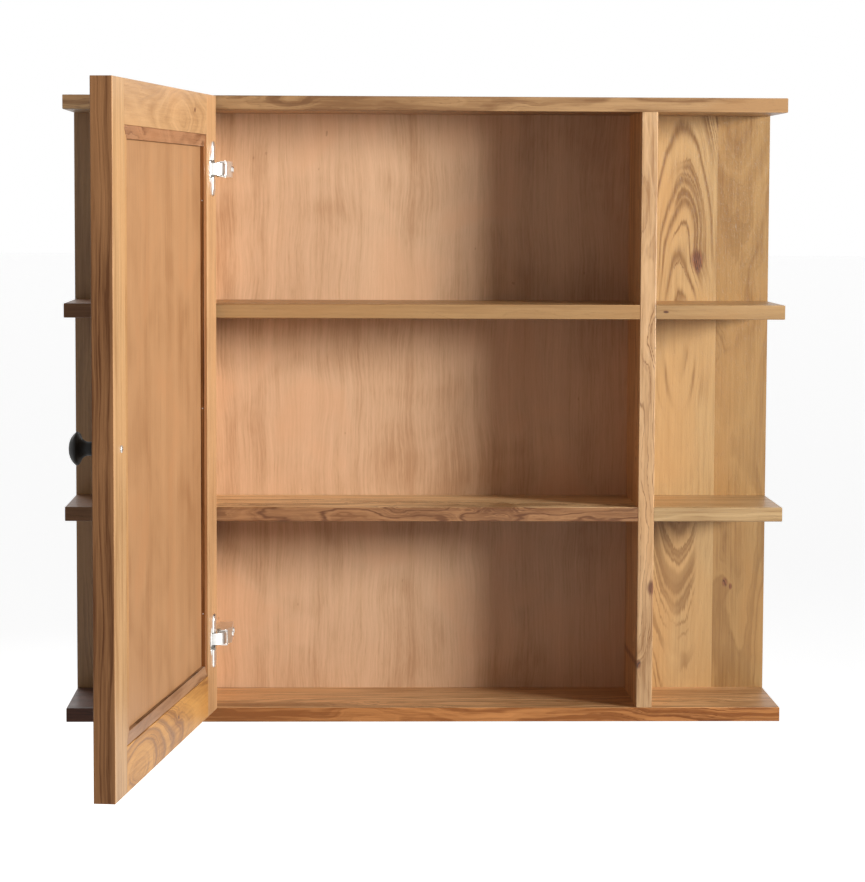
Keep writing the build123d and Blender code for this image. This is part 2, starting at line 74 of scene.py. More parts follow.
MM = 0.001
WHITE: Colour = (1.0, 1.0, 1.0)
DOOR_THICKNESS = 21.0
DOOR_WIDTH = 512.0
WELD_DISTANCE = 2e-5
SHARP_ANGLE = 50.0
DOUBLES = 1e-4


def tint(red: float, green: float, blue: float) -> Colour:
    """Turn a paint-chart colour, 0 to 255, into a linear one.

    Args:
        red: Red of the chart colour.
        green: Green of the chart colour.
        blue: Blue of the chart colour.

    Returns:
        The same colour in linear light.
    """
    parts = (red / 255, green / 255, blue / 255)
    return tuple(p / 12.92 if p <= 0.04045 else ((p + 0.055) / 1.055) ** 2.4 for p in parts)


def filtered(colour: Colour, through: Colour) -> Colour:
    """Multiply a colour by another, part by part.

    Args:
        colour: The colour to start from.
        through: What each part is multiplied by.

    Returns:
        The product, no part above 1.
    """
    return tuple(min(1.0, a * b) for a, b in zip(colour, through))


# ------------------------------------------------------------------ shader maths


class Wire:
    """One output of a shader node. Sums and products on it add Math nodes to the same recipe."""

    def __init__(self, recipe: "Recipe", socket: bpy.types.NodeSocket) -> None:
        """Keep the output and the recipe that its nodes belong to."""
        self.recipe = recipe
        self.socket = socket

    def output(self, name: str) -> "Wire":
        """Another output of the same node, by name."""
        return Wire(self.recipe, self.socket.node.outputs[name])

    def calc(self, operation: str, *others: "Wire | float", first: "float | None" = None) -> "Wire":
        """Add one Math node.

        Args:
            operation: The Math node's operation.
            others: The second and third operands.
            first: A number that goes in front of this value.

        Returns:
            The node's result.
        """
        operands = [self, *others] if first is None else [first, self, *others]
        return self.recipe.node("ShaderNodeMath", {"operation": operation}, dict(enumerate(operands)))

    def __add__(self, other: "Wire | float") -> "Wire":
        """Sum."""
        return self.calc("ADD", other)

    __radd__ = __add__

    def __mul__(self, other: "Wire | float") -> "Wire":
        """Product."""
        return self.calc("MULTIPLY", other)

    __rmul__ = __mul__

    def __sub__(self, other: "Wire | float") -> "Wire":
        """Difference."""
        return self.calc("SUBTRACT", other)

    def __rsub__(self, other: float) -> "Wire":
        """Number minus value."""
        return self.calc("SUBTRACT", first=other)

    def __truediv__(self, other: "Wire | float") -> "Wire":
        """Quotient."""
        return self.calc("DIVIDE", other)

    def __abs__(self) -> "Wire":
        """Distance from zero."""
        return self.calc("ABSOLUTE")

    def root(self) -> "Wire":
        """Square root."""
        return self.calc("SQRT")

    def bell(self, width: float) -> "Wire":
        """A smooth bump: 1 where the value is 0, fading to 0 about two widths away."""
        scaled = self * (1 / width)
        return (scaled * scaled * -1.0).calc("EXPONENT")

    def step(self, low: float, high: float) -> "Wire":
        """A smooth step.

        Args:
            low: Where the step starts, at 0.
            high: Where it ends, at 1; below low it runs the other way.

        Returns:
            The stepped value, 0 to 1.
        """
        return self.recipe.node(
            "ShaderNodeMapRange",
            {"interpolation_type": "SMOOTHSTEP"},
            {"Value": self, "From Min": low, "From Max": high},
        )


class Place(Enum):
    """Whose own axes a finish is laid out on."""

    CABINET = "cabinet"
    DOOR = "door"


class Grain(Enum):
    """Which way a piece's grain runs."""

    UPRIGHT = "upright"
    LEVEL = "level"


class Recipe:
    """The nodes of a material, or of the white surroundings, under construction."""

    SKETCH_COLOUR: ClassVar[Colour] = (0.6, 0.4, 0.25)

    def __init__(self, owner: "bpy.types.Material | bpy.types.World") -> None:
        """Empty the owner's nodes.

        Args:
            owner: The material or the surroundings that the nodes belong to.
        """
        self.owner = owner
        self.owner.use_nodes = True
        self.tree = owner.node_tree
        self.tree.nodes.clear()

    @classmethod
    def material(cls, name: str) -> "Recipe":
        """Start an empty material of this name."""
        return cls(bpy.data.materials.new(name))

    def node(
        self,
        kind: str,
        settings: "Mapping[str, object] | None" = None,
        sockets: "Mapping[str | int, object] | None" = None,
        output: "int | str" = 0,
    ) -> "Wire | None":
        """Add a node.

        Args:
            kind: The node's type.
            settings: Its own settings; "stops" holds a ramp's (position, colour) pairs.
            sockets: A value or a Wire for each input that is used.
            output: The output to hand back.

        Returns:
            That output, or nothing from a node that has none.
        """
        made = self.tree.nodes.new(kind)
        for name, value in (settings or {}).items():
            if name == "stops":
                self.set_stops(made.color_ramp, value)
            else:
                setattr(made, name, value)
        for name, value in (sockets or {}).items():
            if isinstance(value, Wire):
                self.tree.links.new(value.socket, made.inputs[name])
            else:
                made.inputs[name].default_value = value
        return Wire(self, made.outputs[output]) if made.outputs else None

    @staticmethod
    def set_stops(ramp: bpy.types.ColorRamp, stops: "Iterable[tuple[float, Colour]]") -> None:
        """Give a ramp its stops.

        Args:
            ramp: The ramp, which starts with two stops.
            stops: Position and colour of each stop, in order.
        """
        stops = list(stops)
        while len(ramp.elements) < len(stops):
            ramp.elements.new(1.0)
        for element, (position, colour) in zip(ramp.elements, stops):
            element.position = position
            element.color = (*colour, 1.0)

    def ramp(self, factor: Wire, *stops: "tuple[float, Colour]") -> Wire:
        """Colour by a value.

        Args:
            factor: The value, 0 to 1.
            stops: Position and colour of each stop.

        Returns:
            The colour.
        """
        return self.node("ShaderNodeValToRGB", {"stops": stops}, {"Fac": factor})

    def blend(
        self, factor: "Wire | float", base: "Wire | Colour", top: "Wire | Colour", mode: str = "MIX"
    ) -> Wire:
        """Mix two colours.

        Args:
            factor: How much of the top colour shows, 0 to 1.
            base: The colour at 0.
            top: The colour at 1.
            mode: How the top colour is laid on.

        Returns:
            The mixed colour.
        """
        base = base if isinstance(base, Wire) else (*base, 1.0)
        top = top if isinstance(top, Wire) else (*top, 1.0)
        settings = {"data_type": "RGBA", "blend_type": mode}
        return self.node("ShaderNodeMix", settings, {0: factor, 6: base, 7: top}, 2)

    def millimetres(self, place: Place) -> "tuple[Wire, Wire, Wire]":
        """Where a point is, in millimetres.

        Args:
            place: The axes to use; the door's run across its width, out of the face that closes on the
                cabinet and up.

        Returns:
            The three coordinates.
        """
        corner, turn = (DOOR.corner, DOOR.turn) if place is Place.DOOR else (Vector(), 0.0)
        spot = self.node("ShaderNodeTexCoord", output="Object")
        moved = self.node(
            "ShaderNodeMapping",
            {"vector_type": "TEXTURE"},
            {"Vector": spot, "Location": corner, "Rotation": (0, 0, turn), "Scale": (MM, MM, MM)},
        )
        x = self.node("ShaderNodeSeparateXYZ", None, {"Vector": moved})
        return x, x.output("Y"), x.output("Z")

    def vector(self, x: "Wire | float", y: "Wire | float", z: "Wire | float") -> Wire:
        """Join three values in a vector."""
        return self.node("ShaderNodeCombineXYZ", None, {"X": x, "Y": y, "Z": z})

    def spread(self, spot: "tuple[Wire, Wire, Wire]", scale: Point, shift: Point = (0.0, 0.0, 0.0)) -> Wire:
        """Scale a place part by part and move it, for a noise to be read there.

        Args:
            spot: The three coordinates in millimetres.
            scale: Blotches to a millimetre along each of them.
            shift: How far each is moved after that, in blotches.

        Returns:
            The vector.
        """
        scaled = [part * fine if fine != 1.0 else part for part, fine in zip(spot, scale)]
        return self.vector(*(part + off if off else part for part, off in zip(scaled, shift)))

    def noise(
        self, vector: Wire, detail: float = 2.0, roughness: float = 0.5, distortion: float = 0.0
    ) -> Wire:
        """Cloudy noise, 0 to 1.

        Args:
            vector: Where it is read, about one blotch to a unit.
            detail: How many finer layers it has.
            roughness: How strong those layers are.
            distortion: How much it is stirred.

        Returns:
            The noise value.
        """
        layers = {"Detail": detail, "Roughness": roughness, "Distortion": distortion}
        return self.node("ShaderNodeTexNoise", None, {"Vector": vector, "Scale": 1.0, **layers})

    def bands(self, value: Wire, detail: float = 2.0, roughness: float = 0.55) -> Wire:
        """Noise along one value, which makes uneven bands.

        Args:
            value: What the bands follow, about one band to a unit.
            detail: How many finer layers there are.
            roughness: How strong those layers are.

        Returns:
            The noise value, 0 to 1.
        """
        values = {"W": value, "Scale": 1.0, "Detail": detail, "Roughness": roughness}
        return self.node("ShaderNodeTexNoise", {"noise_dimensions": "1D"}, values)

    def relief(self, height: Wire, depth: float, strength: float) -> Wire:
        """Bump from a height.

        Args:
            height: The height, 0 to 1.
            depth: How deep 1 is, in metres.
            strength: How much of it shows.

        Returns:
            The changed normal.
        """
        return self.node("ShaderNodeBump", None, {"Height": height, "Distance": depth, "Strength": strength})

    def shaded(self, sockets: "Mapping[str, object]") -> bpy.types.Material:
        """Close the recipe.

        Args:
            sockets: The shader's own inputs, as values or Wires.

        Returns:
            The finished material.
        """
        shader = self.node("ShaderNodeBsdfPrincipled", None, sockets)
        self.node("ShaderNodeOutputMaterial", None, {"Surface": shader})
        self.owner.diffuse_color = (*self.SKETCH_COLOUR, 1.0)
        return self.owner


# ------------------------------------------------------------------ the door's own axes


@dataclass(frozen=True)
class DoorPlace:
    """Where the open door stands: the hinge edge of the face that closes on the cabinet, and how far it is
    turned.
    """

    corner: Vector
    turn: float

    @classmethod
    def from_frame(cls) -> "DoorPlace":
        """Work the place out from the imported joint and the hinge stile.

        Returns:
            The door's place at rest.
        """
        swing = next(j for j in frame["joints"] if j["child"] == "door")
        turn = math.radians(min(swing["range_deg"]))
        _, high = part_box("door_hinge_stile")
        beyond = math.sin(-turn - math.pi / 2)
        return cls(Vector((high.x, high.y - DOOR_THICKNESS * MM * beyond, 0.0)), turn)

    def matrix(self) -> Matrix:
        """The door's own axes as a matrix."""
        return Matrix.Translation(self.corner) @ Matrix.Rotation(self.turn, 4, "Z")


DOOR = DoorPlace.from_frame()


# ------------------------------------------------------------------ finishes


@dataclass(frozen=True)
class Knot:
    """A knot: its place across and along the grain, its radius and how far the rings bend round it."""

    across: float
    along: float
    radius: float
    bend: float = 6.0


@dataclass(frozen=True)
class Acacia:
    """Lacquered acacia cut from the log, in millimetres of the cabinet's or the door's own axes.

    The rings are long shells round the heart, so a board shows arches where it cuts them flat and
    lines where it cuts them straight. The heart is a place across, through and along the grain.
    stretch is how fast the shells close along the grain, and reach is where they stop closing. ring
    is the width of a ring and wander how far it strays. streaks, contrast, bold and knots are the
    dark lines, the depth of the tone, the radii of the strongest lines and the knots. arches fades
    those lines in along the grain, and they come back below plain_down_to. A span across can be
    given in which a darker shade colour takes over: painted shade, for a board end in the open door's
    shadow and for the door's free edge face turned from the light. A height can also be given above
    which the colour is multiplied paler: painted light on top faces, for the light and sheen that fall
    on them.
    """

    PALE: ClassVar[Colour] = (1.26, 1.32, 1.4)
    BROWN: ClassVar[Colour] = (0.62, 0.53, 0.44)
    ROSY: ClassVar[Colour] = (1.0, 0.88, 0.74)
    PORE: ClassVar[Colour] = (0.46, 0.36, 0.26)
    VEIN: ClassVar[Colour] = (0.35, 0.235, 0.13)
    # Darkest and palest stops of the painted shade colour, for grain within it.
    PAINTED_SHADE_LOW: ClassVar[Colour] = (0.42, 0.34, 0.28)
    PAINTED_SHADE_HIGH: ClassVar[Colour] = (1.35, 1.42, 1.5)
    KNOT_DARK: ClassVar[Colour] = tint(62, 34, 24)
    KNOT_BROWN: ClassVar[Colour] = tint(134, 84, 56)
    SLOW: ClassVar[Point] = (0.021, 0.021, 0.0075)
    QUICK: ClassVar[Point] = (0.11, 0.11, 0.03)
    FIBRE: ClassVar[Point] = (1.3, 1.3, 0.035)
    STREAK: ClassVar[Point] = (0.34, 0.34, 0.011)
    FADE: ClassVar[Point] = (0.03, 0.03, 0.006)
    PORES: ClassVar[Point] = (2.6, 2.6, 0.11)
    CLOUD: ClassVar[Point] = (0.012, 0.02, 0.0045)
    SEED_STEP: ClassVar[float] = 37.0
    SLOW_SHARE: ClassVar[float] = 4.0
    QUICK_SHARE: ClassVar[float] = 0.7
    FIBRE_JAG: ClassVar[float] = 1.8
    KNOT_LENGTH: ClassVar[float] = 0.55
    KNOT_RAG: ClassVar[float] = 1.2
    KNOT_PULL: ClassVar[float] = 2.6
    KNOT_EDGE: ClassVar[Flat] = (1.25, 0.45)
    KNOT_RINGS: ClassVar[float] = 0.9
    KNOT_SHARE: ClassVar[float] = 0.92
    VEIN_RATE: ClassVar[float] = 1.7
    VEIN_WIDTH: ClassVar[float] = 0.05
    VEIN_FADE: ClassVar[Flat] = (0.42, 0.62)
    BOLD_WIDTH: ClassVar[float] = 0.95
    BOLD_LEAST: ClassVar[float] = 0.35
    BOLD_GAIN: ClassVar[float] = 1.1
    CREST_EDGE: ClassVar[Flat] = (0.04, 0.4)
    PLAIN_FADE: ClassVar[float] = 30.0
    PLAIN_VEINS: ClassVar[float] = 0.8
    PLAIN_RINGS: ClassVar[float] = 0.35
    PORE_EDGE: ClassVar[Flat] = (0.62, 0.74)
    PORE_SHARE: ClassVar[float] = 0.22
    ROSY_EDGE: ClassVar[Flat] = (0.5, 0.66)
    ROSY_SHARE: ClassVar[float] = 0.45
    TONE_GAIN: ClassVar[float] = 2.2
    TOP_LIGHT_FADE: ClassVar[float] = 0.6
    ON_DOOR: ClassVar[Flat] = (0.4, 0.2)
    COAT_ROUGHNESS: ClassVar[float] = 0.2
    DEPTH: ClassVar[float] = 0.0003
    RELIEF: ClassVar[float] = 0.4

    name: str
    colour: Colour
    grain: Grain = Grain.UPRIGHT
    place: Place = Place.CABINET
    heart: Point = (0.0, 30.0, 0.0)
    stretch: float = 0.05
    reach: float = 400.0
    ring: float = 9.0
    wander: float = 5.0
    streaks: float = 0.5
    contrast: float = 1.0
    bold: "tuple[float, ...]" = ()
    knots: "tuple[Knot, ...]" = ()
    seed: float = 0.0
    arches: "Flat | None" = None
    plain_down_to: float = -200.0
    gloss: float = 0.4
    coat: float = 0.14
    # Painted shade: a span across, and the darker colour that takes over in it.
    painted_shade_span: "Flat | None" = None
    painted_shade_colour: Colour = tint(150, 101, 60)
    # Painted light: a height, and the paler multiplier for what lies above it.
    painted_top_light: "tuple[float, Colour] | None" = None

    def light(self) -> Colour:
        """The pale early wood."""
        return filtered(self.colour, self.PALE)

    def dark(self) -> Colour:
        """The browner late wood."""
        return filtered(self.colour, self.BROWN)

    def place_in_log(self, spot: "tuple[Wire, Wire, Wire]") -> "tuple[Wire, Wire, Wire, Wire]":
        """Measure a place from the heart.

        Args:
            spot: The place across, through and along the grain.

        Returns:
            How far it is sideways, in depth and along, and how far the shells close there.
        """
        side, deep, run = (part - heart for part, heart in zip(spot, self.heart))
        far = run * self.stretch / (run * run * self.reach**-2.0 + 1.0).root()
        return side, deep, run, far

    def knotted(self, spot: "tuple[Wire, Wire, Wire]", radius: Wire, rag: Wire) -> "tuple[Wire, Wire | None]":
        """Bend the shells round the knots.

        Args:
            spot: The place across, through and along the grain.
            radius: How far the shells are from the heart.
            rag: Noise that makes the knots uneven.

        Returns:
            The bent radius and the knots' own discs, if there are any.
        """
        across, _, along = spot
        core = None
        for knot in self.knots:
            sideways = across - knot.across
            lengthways = (along - knot.along) * self.KNOT_LENGTH
            gap = (sideways * sideways + lengthways * lengthways).root() + rag * (knot.radius * self.KNOT_RAG)
            radius = radius + gap.bell(knot.radius * self.KNOT_PULL) * knot.bend
            disc = gap.step(*(knot.radius * part for part in self.KNOT_EDGE))
            core = disc if core is None else core.calc("MAXIMUM", disc)
        return radius, core

    def crest(self, side: Wire, run: Wire, far: Wire) -> Wire:
        """Where the arches show.

        Args:
            side: How far a place is beside the heart.
            run: How far it is along the grain.
            far: How far the shells close there.

        Returns:
            1 in the arches and 0 in plain wood.
        """
        shown = (far * far / (side * side + far * far + 1.0)).step(*self.CREST_EDGE)
        shown = shown * run.step(*self.arches)
        plain = run.step(self.plain_down_to, self.plain_down_to - self.PLAIN_FADE)
        return shown.calc("MAXIMUM", plain * self.PLAIN_VEINS)

    def make(self) -> bpy.types.Material:
        """Build the material.

        Returns:
            The finished material.
        """
        recipe = Recipe.material(self.name)
        x, y, z = recipe.millimetres(self.place)
        spot = (x, y, z) if self.grain is Grain.UPRIGHT else (z, y, x)
        shift = self.seed * self.SEED_STEP

        slow = recipe.noise(recipe.spread(spot, self.SLOW, (shift, 0.0, 0.0)), 1.5) - 0.5
        quick = recipe.noise(recipe.spread(spot, self.QUICK, (0.0, shift, 0.0)), 2.0) - 0.5
        fibre = recipe.noise(recipe.spread(spot, self.FIBRE, (0.0, 0.0, shift)), 3.0, 0.6)
        streaky = recipe.noise(recipe.spread(spot, self.STREAK, (0.0, shift, 0.0)), 2.0, 0.55)
        fade = recipe.noise(recipe.spread(spot, self.FADE, (0.0, shift + 5.0, 0.0)), 1.0)
        pores = recipe.noise(recipe.spread(spot, self.PORES, (0.0, 0.0, shift)), 1.0).step(*self.PORE_EDGE)
        cloud = recipe.noise(recipe.spread(spot, self.CLOUD, (shift, 0.0, 0.0)), 2.0, 0.5, 0.4)

        side, deep, run, far = self.place_in_log(spot)
        radius = (side * side + deep * deep + far * far).root()
        radius = radius + slow * (self.wander * self.SLOW_SHARE) + quick * (self.wander * self.QUICK_SHARE)
        radius = radius + (fibre - 0.5) * self.FIBRE_JAG
        radius, core = self.knotted(spot, radius, quick)

        rings = recipe.bands(radius * (1 / self.ring) + shift, 3.0, 0.6)
        veins = recipe.bands(radius * (self.VEIN_RATE / self.ring) + (shift + 11.0), 1.0, 0.4)
        vein = abs(veins - 0.5).step(self.VEIN_WIDTH, 0.0) * fade.step(*self.VEIN_FADE)
        for distance in self.bold:
            line = (radius - distance).bell(self.BOLD_WIDTH)
            vein = vein.calc("MAXIMUM", line * (self.BOLD_LEAST + streaky * self.BOLD_GAIN))
        if self.arches is not None:
            crest = self.crest(side, run, far)
            vein = vein * crest
            rings = (rings - 0.5) * (self.PLAIN_RINGS + crest * (1 - self.PLAIN_RINGS)) + 0.5

        tone = rings * 0.5 + fibre * 0.17 + cloud * 0.5 + streaky * 0.36 - 0.265
        tone = (tone - 0.5) * (self.TONE_GAIN * self.contrast) + 0.5
        shade = recipe.ramp(tone, (0.05, self.dark()), (0.5, self.colour), (0.95, self.light()))
        rosy = cloud.step(*self.ROSY_EDGE) * self.ROSY_SHARE
        shade = recipe.blend(rosy, shade, filtered(self.colour, self.ROSY))
        shade = recipe.blend(pores * self.PORE_SHARE, shade, filtered(self.colour, self.PORE))
        shade = recipe.blend(vein * self.streaks, shade, filtered(self.colour, self.VEIN))
        if core is not None:
            eye = recipe.bands(radius * self.KNOT_RINGS + shift, 1.0)
            bark = recipe.ramp(eye, (0.3, self.KNOT_DARK), (0.62, self.KNOT_BROWN))
            shade = recipe.blend(core * self.KNOT_SHARE, shade, bark)
        # Painted shade: across the span a darker colour takes over, standing in for the open door's shadow on
        # the bottom board's left end and the shade on the door's free edge face.
        if self.painted_shade_span is not None:
            dim = filtered(self.painted_shade_colour, self.PAINTED_SHADE_LOW)
            lit = filtered(self.painted_shade_colour, self.PAINTED_SHADE_HIGH)
            painted_shade_colour = recipe.ramp(tone, (0.1, dim), (0.5, self.painted_shade_colour), (0.9, lit))
            shade = recipe.blend(x.step(*self.painted_shade_span), shade, painted_shade_colour)
        # Painted light: what lies above the height, the top faces, is multiplied paler and less red, standing
        # in for the light and sheen that fall on them.
        if self.painted_top_light is not None:
            height, top_light_factor = self.painted_top_light
            shade = recipe.blend(z.step(height - self.TOP_LIGHT_FADE, height), shade, top_light_factor, "MULTIPLY")

        less_gloss, less_coat = self.ON_DOOR if self.place is Place.DOOR else (1.0, 1.0)
        surface = fibre * 0.5 + rings * 0.2 - pores * 0.8 - vein * 0.25
        return recipe.shaded(
            {
                "Base Color": shade,
                "Roughness": 0.34 + fibre * 0.16 + pores * 0.2 - vein * 0.05,
                "Normal": recipe.relief(surface, self.DEPTH, self.RELIEF),
                "Specular IOR Level": self.gloss * less_gloss,
                "Coat Weight": self.coat * less_coat,
                "Coat Roughness": self.COAT_ROUGHNESS,
            }
        )


@dataclass(frozen=True)
class Veneer:
    """Rotary-cut plywood face: soft upright bands with short, fine dashes."""

    DARK: ClassVar[Colour] = (0.74, 0.66, 0.58)
    PALE: ClassVar[Colour] = (1.18, 1.22, 1.28)
    ROSY: ClassVar[Colour] = (1.02, 0.88, 0.78)
    SPECK: ClassVar[Colour] = (0.42, 0.28, 0.2)
    DASH: ClassVar[Colour] = (0.55, 0.42, 0.34)
    NARROW: ClassVar[Point] = (0.42, 0.42, 0.013)
    DASHES: ClassVar[Point] = (1.5, 1.5, 0.07)
    CLOUD: ClassVar[Point] = (0.011, 0.02, 0.009)
    DOTS: ClassVar[Point] = (0.12, 1.0, 0.075)
    DRIFT: ClassVar[float] = 26.0
    DEPTH: ClassVar[float] = 0.0002
    GLOSS: ClassVar[float] = 0.25
    COAT: ClassVar[float] = 0.05
    COAT_ROUGHNESS: ClassVar[float] = 0.32

    name: str
    colour: Colour
    place: Place = Place.CABINET
    seed: float = 0.0
    specks: float = 0.35

    def make(self) -> bpy.types.Material:
        """Build the material.

        Returns:
            The finished material.
        """
        recipe = Recipe.material(self.name)
        x, y, z = recipe.millimetres(self.place)
        shift = self.seed * 23.0
        drift = recipe.noise(recipe.vector(x * 0.01, shift, z * 0.006), 2.0) - 0.5
        leaf = x + drift * self.DRIFT
        wide = recipe.bands(leaf * 0.028 + shift, 3.0, 0.6)
        narrow = recipe.noise(recipe.spread((leaf, y, z), self.NARROW, (0.0, 0.0, shift)), 3.0, 0.6)
        dashes = recipe.noise(recipe.spread((leaf, y, z), self.DASHES, (0.0, 0.0, shift)), 2.0, 0.6)
        cloud = recipe.noise(recipe.spread((x, y, z), self.CLOUD, (shift, 0.0, 0.0)), 2.0, 0.5, 0.6)
        tone = wide * 0.34 + narrow * 0.38 + dashes * 0.28 + cloud * 0.5 - 0.25
        shade = recipe.ramp(
            (tone - 0.5) * 2.5 + 0.5,
            (0.05, filtered(self.colour, self.DARK)),
            (0.5, self.colour),
            (0.95, filtered(self.colour, self.PALE)),
        )
        shade = recipe.blend(cloud.step(0.52, 0.7) * 0.35, shade, filtered(self.colour, self.ROSY))
        dots = recipe.noise(recipe.spread((x, y, z), self.DOTS, (shift, 0.0, 0.0)), 1.0).step(0.765, 0.80)
        shade = recipe.blend(dots * self.specks, shade, filtered(self.colour, self.SPECK))
        shade = recipe.blend(dashes.step(0.56, 0.72) * 0.16, shade, filtered(self.colour, self.DASH))
        return recipe.shaded(
            {
                "Base Color": shade,
                "Roughness": 0.44 + narrow * 0.14,
                "Normal": recipe.relief(narrow * 0.4 + dashes * 0.6, self.DEPTH, 0.35),
                "Specular IOR Level": self.GLOSS,
                "Coat Weight": self.COAT,
                "Coat Roughness": self.COAT_ROUGHNESS,
            }
        )


class Lay(Enum):
    """How a metal's surface is marked."""

    BRUSHED = "brushed"
    SPANGLED = "spangled"
    CLOUDED = "clouded"


@dataclass(frozen=True)
class Metal:
    """A plated or bare metal with fine marks and handling wear."""

    WORN: ClassVar[Colour] = (0.82, 0.81, 0.79)
    FINE: ClassVar[float] = 3.0
    BROAD: ClassVar[float] = 0.16
    BRUSHED_LENGTH: ClassVar[float] = 0.12
    CELLS: ClassVar[float] = 0.4
    DEPTH: ClassVar[float] = 0.00006

    name: str
    colour: Colour
    roughness: float
    lay: Lay = Lay.BRUSHED
    stain: Colour = (0.5, 0.47, 0.42)
    stained: float = 0.2

    def make(self) -> bpy.types.Material:
        """Build the material.

        Returns:
            The finished material.
        """
        recipe = Recipe.material(self.name)
        x, y, z = recipe.millimetres(Place.CABINET)
        drawn = self.FINE * (self.BRUSHED_LENGTH if self.lay is Lay.BRUSHED else 1.0)
        fine = recipe.noise(recipe.spread((x, y, z), (self.FINE, self.FINE, drawn)), 4.0, 0.65)
        broad = recipe.noise(recipe.spread((x, y, z), (self.BROAD,) * 3), 3.0, 0.6, 0.5)
        wear = broad * 0.6 + fine * 0.4
        if self.lay is Lay.SPANGLED:
            sockets = {"Vector": recipe.vector(x, y, z), "Scale": self.CELLS}
            wear = wear * 0.6 + recipe.node("ShaderNodeTexVoronoi", None, sockets) * 0.22
        shade = recipe.ramp(wear, (0.3, filtered(self.colour, self.WORN)), (0.62, self.colour))
        shade = recipe.blend(broad.step(0.55, 0.78) * self.stained, shade, self.stain)
        return recipe.shaded(
            {
                "Base Color": shade,
                "Metallic": 1.0,
                "Roughness": wear * 0.22 + (self.roughness - 0.08),
                "Normal": recipe.relief(fine, self.DEPTH, 0.3),
            }
        )


@dataclass(frozen=True)
class Paint:
    """Satin stove enamel on turned metal."""

    LIT: ClassVar[Colour] = (1.7, 1.65, 1.6)
    DUST: ClassVar[Colour] = (0.12, 0.115, 0.11)
    DEPTH: ClassVar[float] = 0.00012
    GLOSS: ClassVar[float] = 0.3

    name: str
    colour: Colour
    roughness: float

    def make(self) -> bpy.types.Material:
        """Build the material.

        Returns:
            The finished material.
        """
        recipe = Recipe.material(self.name)
        x, y, z = recipe.millimetres(Place.DOOR)
        peel = recipe.noise(recipe.spread((x, y, z), (0.9,) * 3), 3.0, 0.55)
        dust = recipe.noise(recipe.spread((x, y, z), (4.0,) * 3), 1.0).step(0.66, 0.78)
        shade = recipe.ramp(peel, (0.3, self.colour), (0.75, filtered(self.colour, self.LIT)))
        shade = recipe.blend(dust * 0.14, shade, self.DUST)
        return recipe.shaded(
            {
                "Base Color": shade,
                "Roughness": self.roughness + peel * 0.14 + dust * 0.1,
                "Normal": recipe.relief(peel + dust * 0.3, self.DEPTH, 0.3),
                "Specular IOR Level": self.GLOSS,
            }
        )


@dataclass(frozen=True)
class Mirror:
    """Silvered glass, with the faint smears of a cleaned mirror."""

    SMEARED: ClassVar[Colour] = (1.05, 1.04, 1.05)
    DEPTH: ClassVar[float] = 0.00004
    COAT: ClassVar[float] = 0.6
    COAT_ROUGHNESS: ClassVar[float] = 0.02

    name: str
    colour: Colour

    def make(self) -> bpy.types.Material:
        """Build the material.

        Returns:
            The finished material.
        """
        recipe = Recipe.material(self.name)
        x, _, z = recipe.millimetres(Place.DOOR)
        smear = recipe.noise(recipe.vector(x * 0.02, z * 0.004, z * 0.012), 4.0, 0.6, 1.2)
        bloom = recipe.noise(recipe.vector(x * 0.3, z * 0.3, 2.0), 2.0)
        shade = recipe.ramp(smear, (0.3, self.colour), (0.7, filtered(self.colour, self.SMEARED)))
        return recipe.shaded(
            {
                "Base Color": shade,
                "Metallic": 1.0,
                "Roughness": smear.step(0.5, 0.8) * 0.05 + bloom * 0.012 + 0.01,
                "Normal": recipe.relief(smear, self.DEPTH, 0.12),
                "Coat Weight": self.COAT,
                "Coat Roughness": self.COAT_ROUGHNESS,
            }
        )


# ------------------------------------------------------------------ dressing and shaping pieces


def dress(node: bpy.types.Object, material: bpy.types.Material) -> None:
    """Put a material in every slot of a piece.

    Args:
        node: The piece.
        material: The material.
    """
    if not node.material_slots:
        node.data.materials.append(material)
    for slot in node.material_slots:
        slot.material = material


def ease(node: bpy.types.Object, width: float, segments: int = 2) -> None:
    """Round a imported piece's sharp edges a little with live modifiers.

    Args:
        node: The piece.
        width: The width of the rounding in millimetres.
        segments: How many facets it has.
    """
    weld = node.modifiers.new("joined_faces", "WELD")
    weld.merge_threshold = WELD_DISTANCE
    soft = node.modifiers.new("eased_edges", "BEVEL")
    soft.limit_method = "ANGLE"
    soft.angle_limit = math.radians(SHARP_ANGLE)
    soft.width = width * MM
    soft.segments = segments
    soft.use_clamp_overlap = True


def new_piece(
    name: str,
    mesh: bmesh.types.BMesh,
    place: Matrix,
    body: str,
    material: bpy.types.Material,
    smooth: float,
) -> bpy.types.Object:
    """Turn finished bmesh work into a piece that rides on a body.

    Args:
        name: The piece's name.
        mesh: The shape, in millimetres of its own axes.
        place: Where those axes stand in the cabinet, in metres.
        body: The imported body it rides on.
        material: Its finish.
        smooth: Edges flatter than this many degrees are shaded smooth.

    Returns:
        The piece.
    """
    bmesh.ops.remove_doubles(mesh, verts=mesh.verts, dist=DOUBLES)
    mesh.transform(place @ Matrix.Scale(MM, 4))
    bmesh.ops.recalc_face_normals(mesh, faces=mesh.faces)
    for face in mesh.faces:
        face.smooth = True
    for edge in mesh.edges:
        edge.smooth = edge.calc_face_angle(0.0) < math.radians(smooth)
    data = bpy.data.meshes.new(name)
    mesh.to_mesh(data)
    mesh.free()
    piece = bpy.data.objects.new(name, data)
    bpy.context.scene.collection.objects.link(piece)
    piece.data.materials.append(material)
    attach(piece, body)
    return piece


